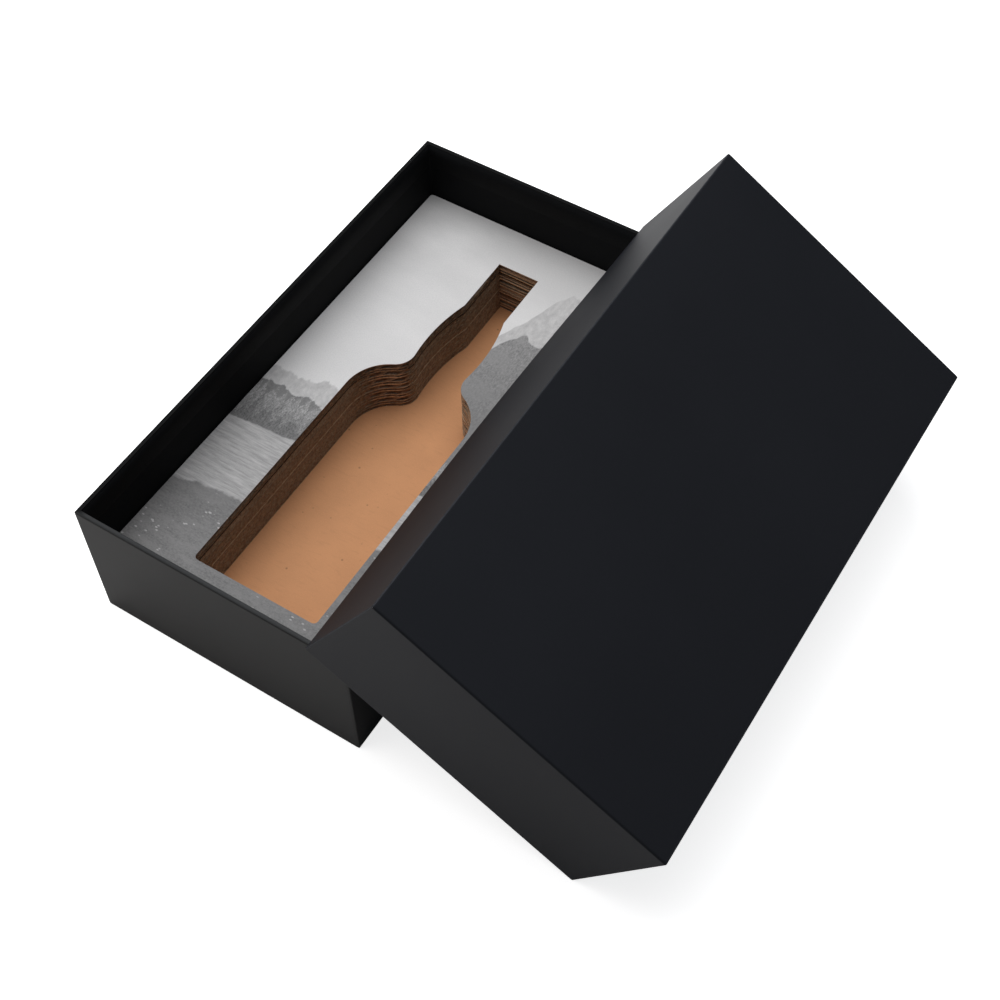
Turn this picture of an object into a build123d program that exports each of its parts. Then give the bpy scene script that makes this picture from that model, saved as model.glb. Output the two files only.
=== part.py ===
from build123d import *
from math import acos, asin, cos, degrees, sin
import os

# A rigid gift box for one bottle: a wrapped greyboard base, a full-depth lift-off lid that leans
# against it, and a block of die-cut corrugated layers that holds the bottle lying down.
# Millimetres. X runs across the width to the right, Y along the length away from the viewer, Z up.
# The origin is the middle of the base's underside, on the table.

# Greyboard and paper, shared by the base and the lid
board_thickness = 2.5
wrap_thickness = 0.3
lining_thickness = 0.3
stay_thickness = 0.15
stay_reach = 12.0
turn_in = 18.0
lining_drop = 1.0
edge_round_share = 2.0

# Base
base_width = 190.0
base_length = 365.0
base_height = 98.5

# Lid: its fit over the base, and how it leans with one wall on the base's rim
lid_clearance = 0.4
lid_headroom = 0.5
lid_reach = 21.0
lid_rest_gap = 0.3

# Insert
insert_clearance = 0.5
insert_seat_gap = 0.3
layer_count = 6
layer_thickness = 6.65
spacer_thickness = 3.0
print_thickness = 0.3
insert_corner_round = 2.0

# Bottle cut-out through the layers, from its neck end towards its foot; it lies a little askew
cutout_offset = 1.6
cutout_turn = 0.3
cutout_far_margin = 32.1
cutout_near_margin = 27.5
neck_width = 30.6
neck_length = 44.0
bulge_width = 41.0
bulge_drop = 43.5
waist_width = 39.2
waist_drop = 53.0
waist_round = 14.0
shoulder_round = 31.6
body_width = 88.9
foot_round = 3.0

# Worked out from the sizes above
edge_round = edge_round_share * wrap_thickness
wall_thickness = wrap_thickness + board_thickness + lining_thickness
rim_thickness = wrap_thickness + board_thickness + wrap_thickness
inner_reveal = rim_thickness + lining_thickness

lid_width = base_width + 2 * (lid_clearance + inner_reveal)
lid_length = base_length + 2 * (lid_clearance + inner_reveal)
lid_height = base_height + lid_headroom + wall_thickness

insert_width = base_width - 2 * (inner_reveal + insert_clearance)
insert_length = base_length - 2 * (inner_reveal + insert_clearance)
insert_foot = wall_thickness + insert_seat_gap
spacer_foot = insert_foot + layer_thickness
layers_foot = spacer_foot + spacer_thickness
print_foot = layers_foot + layer_count * layer_thickness

# The lid's raised wall lies on the base's end walls and its other wall stands on the table
lid_lean = asin((base_height + lid_rest_gap) / (lid_width - rim_thickness))
lid_across = Vector(cos(lid_lean), 0, -sin(lid_lean))
lid_up = Vector(sin(lid_lean), 0, cos(lid_lean))
lid_rim_middle = Vector(
    base_width / 2 - lid_reach + (lid_width / 2 - rim_thickness) * cos(lid_lean),
    0,
    (lid_width / 2 - edge_round) * sin(lid_lean) + edge_round * (1 - cos(lid_lean)),
)

# Each tray is drawn with its closed panel on its plane and its rim above; the lid's is upside down
base_plane = Plane.XY
lid_plane = Plane(origin=lid_rim_middle + lid_up * lid_height, x_dir=lid_across, z_dir=lid_up * -1)


def keep(piece, name):
    """Labels a finished piece and writes it."""
    piece.part.label = name
    export_step(piece.part, f"parts/{name}.step")


def stay_plan(width, length):
    """Draws four paper strips, each folded round one outer corner of the wall boards."""
    Rectangle(width, length)
    Rectangle(width - 2 * stay_thickness, length - 2 * stay_thickness, mode=Mode.SUBTRACT)
    Rectangle(width - 2 * stay_reach, length, mode=Mode.SUBTRACT)
    Rectangle(width, length - 2 * stay_reach, mode=Mode.SUBTRACT)


def make_panel_board(name, plane, width, length):
    """The flat board that closes a tray."""
    with BuildPart() as panel_board:
        with BuildSketch(plane.offset(wrap_thickness)):
            Rectangle(width - 2 * wrap_thickness, length - 2 * wrap_thickness)
        extrude(amount=board_thickness)
    keep(panel_board, name)


def make_wall_board(name, plane, width, length, height, side_x, side_y):
    """One wall board: the long ones run the whole length, the short ones stand between them."""
    boards_width = width - 2 * wrap_thickness
    boards_length = length - 2 * wrap_thickness
    foot = wrap_thickness + board_thickness
    if side_x:
        size = (board_thickness, boards_length)
        middle = (side_x * (boards_width - board_thickness) / 2, 0)
    else:
        size = (boards_width - 2 * board_thickness, board_thickness)
        middle = (0, side_y * (boards_length - board_thickness) / 2)
    with BuildPart() as wall_board:
        with BuildSketch(plane.offset(foot)):
            with Locations(middle):
                Rectangle(*size)
        extrude(amount=height - wrap_thickness - foot)
        with BuildSketch(plane.offset(foot)):
            stay_plan(boards_width, boards_length)
        extrude(amount=height - wrap_thickness - foot, mode=Mode.SUBTRACT)
    keep(wall_board, name)


def make_corner_stays(name, plane, width, length, height):
    """Gummed paper strips, pressed into the boards, that hold the four upright corners."""
    foot = wrap_thickness + board_thickness
    with BuildPart() as corner_stays:
        with BuildSketch(plane.offset(foot)):
            stay_plan(width - 2 * wrap_thickness, length - 2 * wrap_thickness)
        extrude(amount=height - wrap_thickness - foot)
    keep(corner_stays, name)


def make_wrap(name, plane, width, length, height):
    """The covering paper: one sheet over the panel and the walls, turned in over the rim."""
    up = Axis(plane.origin, plane.z_dir)
    mouth_width = width - 2 * rim_thickness
    mouth_length = length - 2 * rim_thickness
    with BuildPart() as wrap:
        with BuildSketch(plane):
            Rectangle(width, length)
        extrude(amount=height)
        fillet(wrap.edges(), radius=edge_round)
        with BuildSketch(plane.offset(wrap_thickness)):
            Rectangle(width - 2 * wrap_thickness, length - 2 * wrap_thickness)
        extrude(amount=height - 2 * wrap_thickness, mode=Mode.SUBTRACT)
        with BuildSketch(plane.offset(height - wrap_thickness)):
            Rectangle(mouth_width, mouth_length)
        extrude(amount=wrap_thickness, mode=Mode.SUBTRACT)
        with BuildSketch(plane.offset(height - turn_in)):
            Rectangle(mouth_width + 2 * wrap_thickness, mouth_length + 2 * wrap_thickness)
            Rectangle(mouth_width, mouth_length, mode=Mode.SUBTRACT)
        extrude(amount=turn_in - wrap_thickness)
        rim = wrap.faces().sort_by(up)[-1]
        fillet(rim.inner_wires()[0].edges(), radius=edge_round)
    keep(wrap, name)


def make_lining(name, plane, width, length, height):
    """The lining paper: over the panel, up the walls and over the wrap's turned-in edge."""
    foot = wrap_thickness + board_thickness
    step = height - turn_in
    with BuildPart() as lining:
        with BuildSketch(plane.offset(foot)):
            Rectangle(width - 2 * foot, length - 2 * foot)
        extrude(amount=step - foot)
        with BuildSketch(plane.offset(step)):
            Rectangle(width - 2 * rim_thickness, length - 2 * rim_thickness)
        extrude(amount=turn_in - lining_drop)
        with BuildSketch(plane.offset(wall_thickness)):
            Rectangle(width - 2 * wall_thickness, length - 2 * wall_thickness)
        extrude(amount=step - lining_thickness - wall_thickness, mode=Mode.SUBTRACT)
        with BuildSketch(plane.offset(step - lining_thickness)):
            Rectangle(width - 2 * inner_reveal, length - 2 * inner_reveal)
        extrude(amount=turn_in + lining_thickness - lining_drop, mode=Mode.SUBTRACT)
    keep(lining, name)


def make_tray(name, panel, plane, width, length, height, front):
    """All pieces of the base or the lid; front is the side of the plane that faces the viewer."""
    walls = {"left": (-1, 0), "right": (1, 0), "front": (0, front), "back": (0, -front)}
    make_panel_board(f"{name}_{panel}_board", plane, width, length)
    for wall, (side_x, side_y) in walls.items():
        make_wall_board(f"{name}_{wall}_board", plane, width, length, height, side_x, side_y)
    make_corner_stays(f"{name}_corner_stays", plane, width, length, height)
    make_wrap(f"{name}_wrap", plane, width, length, height)
    make_lining(f"{name}_lining", plane, width, length, height)


def bottle_plan():
    """Draws the outline of a lying bottle, its neck away from the viewer."""
    far_end = insert_length / 2 - cutout_far_margin
    near_end = cutout_near_margin - insert_length / 2
    middle = (cutout_offset, far_end)
    collar = (cutout_offset + neck_width / 2, far_end - neck_length)
    bulge = (cutout_offset + bulge_width / 2, far_end - neck_length - bulge_drop)
    waist = (cutout_offset + waist_width / 2, far_end - neck_length - waist_drop)
    with BuildSketch(mode=Mode.PRIVATE) as plan:
        with BuildLine():
            Polyline(middle, (cutout_offset + neck_width / 2, far_end), collar)
            neck_swell = ThreePointArc(collar, bulge, waist)
            heading = neck_swell % 1
            spread = (body_width - waist_width) / 2
            across = shoulder_round - waist_round * heading.Y - spread
            turn = degrees(acos(across / (shoulder_round + waist_round)))
            lean_in = degrees(asin(-heading.X))
            hollow = JernArc(waist, heading, waist_round, turn + lean_in)
            shoulder = JernArc(hollow @ 1, hollow % 1, shoulder_round, -turn)
            foot_corner = Vector(cutout_offset + body_width / 2, near_end + foot_round)
            Line(shoulder @ 1, foot_corner)
            corner = JernArc(foot_corner, (0, -1), foot_round, -90)
            Line(corner @ 1, (cutout_offset, near_end))
            mirror(about=Plane.YZ.offset(cutout_offset))
        make_face()
    return plan.sketch.rotate(Axis.Z, cutout_turn)


def make_insert_sheet(name, foot, thickness, cutout):
    """One sheet of the insert block, with the bottle's outline cut through where it has one."""
    with BuildPart() as sheet:
        with BuildSketch(Plane.XY.offset(foot)):
            RectangleRounded(insert_width, insert_length, insert_corner_round)
            if cutout:
                add(cutout, mode=Mode.SUBTRACT)
        extrude(amount=thickness)
    keep(sheet, name)


os.makedirs("parts", exist_ok=True)

make_tray("base", "bottom", base_plane, base_width, base_length, base_height, -1)
make_tray("lid", "top", lid_plane, lid_width, lid_length, lid_height, 1)

bottle = bottle_plan()
make_insert_sheet("insert_floor_board", insert_foot, layer_thickness, None)
make_insert_sheet("insert_spacer", spacer_foot, spacer_thickness, bottle)
for number in range(layer_count):
    make_insert_sheet(
        f"insert_layer_{number + 1}", layers_foot + number * layer_thickness, layer_thickness, bottle
    )
make_insert_sheet("insert_print", print_foot, print_thickness, bottle)

print(f"lid leans {degrees(lid_lean):.2f} degrees, top middle at {lid_plane.origin}")
print(f"insert {insert_width:.1f} x {insert_length:.1f}, top at {print_foot + print_thickness:.2f}")
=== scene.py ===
import math
import random

import bmesh
import bpy
from mathutils import Matrix, Vector, noise


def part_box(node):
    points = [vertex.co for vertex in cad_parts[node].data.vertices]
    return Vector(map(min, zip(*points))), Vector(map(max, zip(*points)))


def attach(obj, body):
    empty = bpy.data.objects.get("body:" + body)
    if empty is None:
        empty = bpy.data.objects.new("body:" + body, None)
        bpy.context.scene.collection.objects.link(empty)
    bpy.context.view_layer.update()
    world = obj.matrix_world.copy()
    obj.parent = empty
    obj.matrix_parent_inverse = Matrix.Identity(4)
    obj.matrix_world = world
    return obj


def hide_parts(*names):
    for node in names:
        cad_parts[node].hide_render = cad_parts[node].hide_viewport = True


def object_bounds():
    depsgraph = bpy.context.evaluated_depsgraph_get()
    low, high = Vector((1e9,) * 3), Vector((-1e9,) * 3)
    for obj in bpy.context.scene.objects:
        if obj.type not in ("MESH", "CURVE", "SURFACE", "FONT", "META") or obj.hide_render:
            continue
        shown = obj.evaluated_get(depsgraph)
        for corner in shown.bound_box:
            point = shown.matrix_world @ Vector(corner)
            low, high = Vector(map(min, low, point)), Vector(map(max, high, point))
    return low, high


bl_info = {
    "name": "Rigid Gift Box",
    "version": (1, 0, 0),
    "blender": (4, 5, 0),
    "location": "View3D > Sidebar > Gift Box",
    "description": "Papers, corrugated insert and studio for a rigid gift box that holds one bottle",
    "category": "Object",
}

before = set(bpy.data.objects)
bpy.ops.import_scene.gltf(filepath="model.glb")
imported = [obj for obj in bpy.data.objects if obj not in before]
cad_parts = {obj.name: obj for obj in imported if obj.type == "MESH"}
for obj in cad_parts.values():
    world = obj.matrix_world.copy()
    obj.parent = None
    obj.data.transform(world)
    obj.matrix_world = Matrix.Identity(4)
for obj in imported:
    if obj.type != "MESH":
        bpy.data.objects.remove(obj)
cad_low, cad_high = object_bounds()

TRAYS = {
    "base": {"panel": "base_bottom_board", "side": "base_left_board"},
    "lid": {"panel": "lid_top_board", "side": "lid_left_board"},
}
SPACER = "insert_spacer"
LAYERS = sorted(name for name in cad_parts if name.startswith("insert_layer_"))
SHEETS = [SPACER, *LAYERS]

# Lengths are in metres and angles in radians; the wave numbers say how fine the papers' dips are
MILLIMETRE = 0.001
MERGE_DISTANCE = 0.00001
SHARP_ANGLE = math.radians(35)
FOLD_ANGLE = 0.5
WRAP_WAVES = 17.0
LINING_WAVES = 23.0
STEPS_PER_WAVE = 10
LAYER_SEED = 7
FLOOR_SEED = 3


# Settings that a user would change

def colour_setting(name, description, default):
    """A colour."""
    return bpy.props.FloatVectorProperty(
        name=name, description=description, default=default, min=0.0, max=1.0, subtype="COLOR")


def share_setting(name, description, default, low=0.0, high=1.0):
    """A share of something, or a level of light."""
    return bpy.props.FloatProperty(
        name=name, description=description, default=default, min=low, max=high, subtype="FACTOR")


def length_setting(name, description, default, low, high):
    """A length in metres."""
    return bpy.props.FloatProperty(
        name=name, description=description, default=default, min=low, max=high,
        subtype="DISTANCE", unit="LENGTH")


def angle_setting(name, description, degrees):
    """An angle, given in degrees."""
    return bpy.props.FloatProperty(
        name=name, description=description, default=math.radians(degrees),
        subtype="ANGLE", unit="ROTATION")


class PaperSettings(bpy.types.PropertyGroup):
    """The papers that cover and line the two trays."""

    base_colour: colour_setting(
        "Base paper", "Colour of the base's covering paper", (0.0196, 0.0183, 0.0172))
    lid_colour: colour_setting(
        "Lid paper", "Colour of the lid's covering paper", (0.0103, 0.0103, 0.0127))
    lining_colour: colour_setting(
        "Lining paper", "Colour of the paper inside the trays", (0.0035, 0.0035, 0.0038))
    base_sheen: share_setting("Base sheen", "How much the base's covering paper mirrors", 0.24)
    lid_sheen: share_setting("Lid sheen", "How much the lid's covering paper mirrors", 0.2)
    # The next three settings are painted shade: they darken the covering paper's colour and sheen on the
    # base's left and back rims, along the front folds and on the lid's raised wall
    painted_rim_shade: share_setting("Rim shade", "How much darker the base's left and back rims are", 0.75)
    painted_fold_shade: share_setting(
        "Fold shade", "How much darker the folds of the base's front rim and the lid's front edge are", 0.27)
    painted_wall_shade: share_setting("Wall shade", "How much darker the lid's raised wall is at its middle", 0.18)
    edge_radius: length_setting(
        "Fold radius", "Radius of the paper over the board's edges", 0.0008, 0.0002, 0.0009)
    mouth_radius: length_setting(
        "Mouth fold radius", "Radius of the paper where it turns into the tray", 0.0004, 0.0002, 0.0009)
    wall_bow: length_setting(
        "Wall bow", "How far the lid's raised wall bulges at the middle of its rim", 0.0022, 0.0, 0.004)
    corner_radius: length_setting(
        "Inner corner radius", "Radius of the paper in the trays' inner corners", 0.0012, 0.0002, 0.0014)
    grid: length_setting(
        "Panel grid", "Spacing of the cuts that let the panels be a little uneven", 0.016, 0.005, 0.1)
    unevenness: length_setting(
        "Unevenness", "How deep the paper dips between the glued places", 0.00012, 0.0, 0.00025)
    lap_inset: length_setting(
        "End paper inset", "From the upright corners to the end papers' cut edges", 0.0013, 0.0008, 0.01)
    lap_step: length_setting(
        "End paper step", "How far the end papers stand proud of the flaps", 0.0001, 0.0, 0.0003)
    lining_lap: length_setting(
        "Lining lap", "From the inner corners to the edge where the lining overlaps", 0.0050, 0.002, 0.02)


class InsertSettings(bpy.types.PropertyGroup):
    """The corrugated sheets of the insert."""

    liner: length_setting("Liner", "Thickness of the flat papers", 0.00042, 0.0001, 0.001)
    medium: length_setting("Fluting paper", "Thickness of the waved papers", 0.00024, 0.0001, 0.001)
    small_flute_share: share_setting(
        "Small flute share", "Share of the wave height that the lower, finer wave takes", 0.37, 0.2, 0.8)
    small_pitch: length_setting(
        "Small flute pitch", "Length of one wave of the finer fluting", 0.0064, 0.002, 0.012)
    large_pitch: length_setting(
        "Large flute pitch", "Length of one wave of the coarser fluting", 0.0079, 0.002, 0.012)
    glue_gap: length_setting("Glue gap", "Room for the glue between wave and liner", 0.00001, 0.0, 0.0001)
    wander: length_setting(
        "Layer wander", "How far the layers' cut-outs wander from each other", 0.00008, 0.0, 0.002)
    crush: bpy.props.FloatVectorProperty(
        name="Crushed edges",
        description="How far each sheet's upper edge is pressed back on the long walls, lowest first",
        size=7, default=(0.0003, 0.0002, 0.0005, 0.0002, 0.0006, 0.0024, 0.0), unit="LENGTH")
    crush_height: length_setting(
        "Crushed height", "Height of the pressed upper edges", 0.0012, 0.0002, 0.003)
    closed_behind: bpy.props.FloatVectorProperty(
        name="Closed waves",
        description="How far behind the cut the crushed waves are closed, across and along the box",
        size=2, default=(0.0003, 0.003), unit="LENGTH")
    open_border: length_setting(
        "Open border", "How far in from the sheets' outer edges the waves stay open", 0.008, 0.001, 0.012)
    liner_colour: colour_setting("Liner colour", "Colour of the flat papers", (0.44, 0.268, 0.150))
    smear_colour: colour_setting(
        "Long walls' colour", "Colour where the knife cut across the waves", (0.42, 0.32, 0.22))
    medium_colour: colour_setting("Fluting colour", "Colour of the waved papers", (0.26, 0.14, 0.078))
    floor_colour: colour_setting(
        "Floor colour", "Colour of the kraft board under the cut-out", (0.597, 0.273, 0.120))


class PrintSettings(bpy.types.PropertyGroup):
    """The printed sheet: a lake between wooded hills, in greys."""

    sky_colour: colour_setting("Sky", "Grey of the open sky", (0.735, 0.685, 0.648))
    hill_colour: colour_setting("Hills", "Grey of the far hills", (0.40, 0.371, 0.351))
    forest_colour: colour_setting("Forest", "Grey of the trees along the lake", (0.20, 0.186, 0.176))
    lake_colour: colour_setting("Lake", "Grey of the water", (0.40, 0.371, 0.351))
    meadow_colour: colour_setting("Meadow", "Grey of the ground", (0.212, 0.196, 0.185))


class StudioSettings(bpy.types.PropertyGroup):
    """Camera, floor and lamps."""

    azimuth: angle_setting("Azimuth", "Camera direction round the box", 32.78)
    elevation: angle_setting("Elevation", "Camera angle above the table", 54.65)
    roll: angle_setting("Roll", "Turn of the camera about its own axis", -0.79)
    distance: length_setting(
        "Distance", "From the camera to the point that it looks at", 0.969, 0.1, 10.0)
    aim: bpy.props.FloatVectorProperty(
        name="Aim", description="The point that the camera looks at",
        default=(0.0891, -0.0179, 0.0500), subtype="TRANSLATION", unit="LENGTH")
    lens: bpy.props.FloatProperty(
        name="Lens", description="Focal length on a 36 mm sensor",
        default=57.13, min=10.0, max=300.0, subtype="DISTANCE_CAMERA")
    floor_size: length_setting("Floor size", "Side of the square floor", 12.0, 1.0, 50.0)
    floor_colour: colour_setting("Floor", "Colour of the floor", (0.85, 0.80, 0.76))
    floor_near: length_setting(
        "Glow begins", "Distance from the box where the mirrored glow begins", 0.45, 0.0, 5.0)
    floor_far: length_setting(
        "Glow is full", "Distance from the box where the mirrored glow is full", 0.90, 0.1, 5.0)
    back_near: length_setting(
        "Back glow begins", "Distance behind the middle where the mirrored glow begins", 0.24, 0.0, 5.0)
    back_far: length_setting(
        "Back glow is full", "Distance behind the middle where the mirrored glow is full", 0.31, 0.1, 5.0)
    floor_glow: share_setting(
        "Floor glow", "Light that the floor adds where the camera sees it, so that it shows white", 0.78)
    mirror_glow: share_setting(
        "Mirrored glow", "Light that the floor adds where the box mirrors it", 0.55)
    far_glow: share_setting(
        "Far glow", "Light that the floor adds far from the box, where the lamps no longer reach", 1.0)
    key_level: share_setting(
        "Key level", "Light of the key lamp on a surface that faces it", 1.23, high=2.0)
    fill_level: share_setting(
        "Fill level", "Light of the low lamp in front on a surface that faces it", 0.18, high=2.0)
    world_level: share_setting("World level", "Brightness of the room around the box", 0.16)


# Building blocks for materials

class Recipe:
    """A material whose node tree is built node by node round one Principled shader."""

    def __init__(self, name):
        self.material = bpy.data.materials.new(name)
        self.material.use_nodes = True
        self.nodes = self.material.node_tree.nodes
        self.links = self.material.node_tree.links
        self.shader = self.nodes["Principled BSDF"]
        self.place = self.node("ShaderNodeTexCoord").outputs["Object"]

    def feed(self, socket, value):
        """Links an output to a socket, or sets the socket's own value."""
        if isinstance(value, bpy.types.NodeSocket):
            self.links.new(value, socket)
        else:
            socket.default_value = value

    def node(self, kind, inputs=None, **settings):
        """Adds a node with its inputs and settings."""
        made = self.nodes.new(kind)
        for setting, value in settings.items():
            setattr(made, setting, value)
        for socket, value in (inputs or {}).items():
            self.feed(made.inputs[socket], value)
        return made

    def mapped(self, scale=(1, 1, 1), shift=(0, 0, 0)):
        """The object's coordinates, moved and stretched."""
        inputs = {"Vector": self.place, "Location": shift, "Scale": scale}
        return self.node("ShaderNodeMapping", inputs).outputs["Vector"]

    def axis(self, letter, place=None):
        """One of the three coordinates."""
        return self.node("ShaderNodeSeparateXYZ", {0: place or self.place}).outputs[letter]

    def attribute(self, name):
        """A value that is kept in the piece's mesh."""
        return self.node("ShaderNodeAttribute", attribute_name=name).outputs["Fac"]

    def noise(self, scale, detail=2.0, roughness=0.5, stretch=None, shift=(0, 0, 0)):
        """Cloudy noise from 0 to 1."""
        place = self.mapped(stretch, shift) if stretch else self.place
        inputs = {"Vector": place, "Scale": scale, "Detail": detail, "Roughness": roughness}
        return self.node("ShaderNodeTexNoise", inputs).outputs["Fac"]

    def cells(self, scale, stretch=None):
        """Distance to the nearest of many scattered points."""
        place = self.mapped(stretch) if stretch else self.place
        return self.node("ShaderNodeTexVoronoi", {"Vector": place, "Scale": scale}).outputs["Distance"]

    def math(self, operation, first, second=0.0):
        """One sum on two values."""
        return self.node("ShaderNodeMath", {0: first, 1: second}, operation=operation).outputs[0]

    def plus(self, first, second):
        """Adds two values."""
        return self.math("ADD", first, second)

    def minus(self, first, second):
        """Takes the second value from the first."""
        return self.math("SUBTRACT", first, second)

    def times(self, first, *others):
        """Multiplies all the values."""
        for other in others:
            first = self.math("MULTIPLY", first, other)
        return first

    def away(self, value, middle):
        """How far a value is from another, on either side."""
        return self.math("ABSOLUTE", self.minus(value, middle))

    def span(self, value, low, high, new_low=0.0, new_high=1.0, smooth=False):
        """Stretches the values from low to high over a new range, and stops at its ends."""
        inputs = {
            "Value": value, "From Min": low, "From Max": high, "To Min": new_low, "To Max": new_high,
        }
        kind = "SMOOTHSTEP" if smooth else "LINEAR"
        return self.node("ShaderNodeMapRange", inputs, interpolation_type=kind).outputs["Result"]

    def mix(self, share, first, second):
        """Mixes two colours."""
        mixer = self.node("ShaderNodeMix", data_type="RGBA")
        self.feed(mixer.inputs[0], share)
        for socket, value in ((mixer.inputs[6], first), (mixer.inputs[7], second)):
            self.feed(socket, (*value, 1.0) if isinstance(value, tuple) else value)
        return mixer.outputs[2]

    def cloudy(self, clouds, colour, share):
        """A colour that the clouds make darker or lighter by a share."""
        darker = shade(colour, 1.0 - share)
        return self.mix(self.span(clouds, 0.3, 0.7), darker, shade(colour, 1.0 + share))

    def bump(self, height, distance, strength):
        """Bends the normal by a height map."""
        inputs = {"Height": height, "Distance": distance, "Strength": strength}
        return self.node("ShaderNodeBump", inputs).outputs["Normal"]

    def finish(self, colour, roughness, specular, normal=None):
        """Joins the results to the shader; what is the same all over is set on its own socket."""
        results = {"Base Color": colour, "Roughness": roughness, "Specular IOR Level": specular}
        for socket, value in results.items():
            self.feed(self.shader.inputs[socket], value)
        if normal is not None:
            self.feed(self.shader.inputs["Normal"], normal)
        return self.material


def shade(colour, factor):
    """A colour made darker or lighter."""
    return tuple(channel * factor for channel in colour)


def covering_paper(name, colour, sheen):
    """Dyed matte paper: fine fibres, faint clouds, folds lightened by wear and a painted highlight, and
    painted shade in some places.
    """
    recipe = Recipe(name)
    clouds = recipe.noise(9.0, detail=3.0)
    fibres = recipe.noise(2300.0, detail=3.0, roughness=0.6)
    long_fibres = recipe.noise(700.0, stretch=(1.0, 0.35, 1.0))
    tone = recipe.cloudy(clouds, colour, 0.08)
    tone = recipe.mix(recipe.span(fibres, 0.35, 0.75, 0.0, 0.35), tone, shade(colour, 1.5))
    # Lighter, patchy folds: worn paper mixed with a painted highlight
    patchy = recipe.span(recipe.noise(260.0), 0.35, 0.65, 0.35, 1.0)
    tone = recipe.mix(recipe.times(recipe.attribute("rub"), patchy), tone, shade(colour, 2.2))
    # Painted shade: the marked places turn darker and lose sheen
    dim = recipe.attribute("dim")
    tone = recipe.mix(dim, tone, (0.0, 0.0, 0.0))
    roughness = recipe.span(clouds, 0.2, 0.8, 0.50, 0.56)
    specular = recipe.times(recipe.minus(1.0, dim), sheen)
    normal = recipe.bump(recipe.plus(fibres, long_fibres), distance=0.00004, strength=0.35)
    return recipe.finish(tone, roughness, specular, normal)


def lining_paper(name, colour):
    """Thin, deep black, uncoated paper."""
    recipe = Recipe(name)
    fibres = recipe.noise(1900.0, detail=3.0)
    tone = recipe.cloudy(recipe.noise(14.0, detail=3.0), colour, 0.15)
    tone = recipe.mix(recipe.span(fibres, 0.4, 0.8, 0.0, 0.4), tone, shade(colour, 1.8))
    normal = recipe.bump(fibres, distance=0.00004, strength=0.4)
    return recipe.finish(tone, roughness=0.75, specular=0.1, normal=normal)


def board_grey(name):
    """Raw solid board, grey and fibrous."""
    recipe = Recipe(name)
    flecks = recipe.span(recipe.noise(900.0, detail=4.0), 0.45, 0.7)
    tone = recipe.mix(recipe.noise(40.0), (0.38, 0.37, 0.34), (0.46, 0.45, 0.42))
    tone = recipe.mix(flecks, tone, (0.28, 0.27, 0.25))
    normal = recipe.bump(recipe.noise(60.0, stretch=(1.0, 1.0, 40.0)), distance=0.0001, strength=0.3)
    return recipe.finish(tone, roughness=0.85, specular=0.2, normal=normal)


def gummed_paper(name):
    """Brown paper strip with a faint ribbing."""
    recipe = Recipe(name)
    ribs = recipe.noise(400.0, stretch=(1.0, 1.0, 6.0))
    tone = recipe.mix(ribs, (0.50, 0.37, 0.23), (0.60, 0.47, 0.32))
    normal = recipe.bump(ribs, distance=0.00005, strength=0.3)
    return recipe.finish(tone, roughness=0.6, specular=0.3, normal=normal)


def corrugated(name, settings, lowest, double):
    """Cut corrugated board: pale flat papers, darker waved ones, and each sheet in its own tone."""
    recipe = Recipe(name)
    low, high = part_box(lowest)
    thickness = high.z - low.z
    liner = tuple(settings.liner_colour)
    medium = tuple(settings.medium_colour)
    smear = tuple(settings.smear_colour)

    # How high a place is within its own sheet, from 0 to 1, and whether that is in a flat paper
    height = recipe.axis("Z")
    layer = recipe.math("DIVIDE", recipe.minus(height, low.z), thickness)
    within = recipe.math("FRACT", layer)
    edge = settings.liner / thickness
    middle = (1.0 - 3 * edge) * settings.small_flute_share + 1.5 * edge
    flat = recipe.math("GREATER_THAN", recipe.away(within, 0.5), 0.5 - edge)
    if double:
        inner_liner = recipe.math("LESS_THAN", recipe.away(within, middle), edge / 2)
        flat = recipe.math("MAXIMUM", flat, inner_liner)

    # The waves' ends show on the long walls, where the knife smeared the papers into one brown
    striped = recipe.mix(flat, shade(medium, 1.9), shade(liner, 2.4))
    smeared = recipe.mix(flat, smear, shade(smear, 1.1))
    side = recipe.span(recipe.attribute("side"), 0.75, 0.95)
    tone = recipe.mix(side, striped, smeared)

    number = recipe.math("FLOOR", layer)
    own = recipe.node("ShaderNodeTexWhiteNoise", {"W": number}, noise_dimensions="1D").outputs["Value"]
    tone = recipe.mix(recipe.span(own, 0.0, 1.0, 0.0, 0.15), tone, (0.10, 0.055, 0.03))
    crushed = recipe.noise(600.0, detail=4.0, roughness=0.7)
    torn = recipe.times(recipe.span(crushed, 0.38, 0.64), recipe.span(side, 0.0, 1.0, 0.4, 0.65))
    tone = recipe.mix(torn, tone, (0.07, 0.038, 0.02))
    patches = recipe.noise(46.0, detail=3.0)
    tone = recipe.mix(recipe.span(patches, 0.35, 0.7, 0.0, 0.2), tone, (0.33, 0.20, 0.12))

    # On the long walls one liner stands out pale, the top sheet is darker, and a painted shadow darkens the
    # band under it, where the sheet below is pressed back
    pale_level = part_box(LAYERS[2])[0].z + middle * thickness
    pale_line = recipe.math("LESS_THAN", recipe.away(height, pale_level), settings.liner)
    top_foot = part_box(LAYERS[-1])[0].z
    top_sheet = recipe.math("GREATER_THAN", height, top_foot)
    uneven = recipe.times(recipe.noise(55.0, detail=3.0), settings.crush_height)
    painted_shadow_foot = recipe.minus(top_foot - 0.9 * settings.crush_height, uneven)
    painted_gap_shadow = recipe.minus(recipe.math("GREATER_THAN", height, painted_shadow_foot), top_sheet)
    marks = (
        (pale_line, 0.5, shade(smear, 1.7)),
        (top_sheet, 0.4, shade(medium, 0.3)),
        (painted_gap_shadow, 0.93, shade(medium, 0.05)),
    )
    for mark, strength, colour in marks:
        tone = recipe.mix(recipe.times(mark, side, strength), tone, colour)
    normal = recipe.bump(crushed, distance=0.0003, strength=0.5)
    return recipe.finish(tone, roughness=0.85, specular=0.15, normal=normal)


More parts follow.
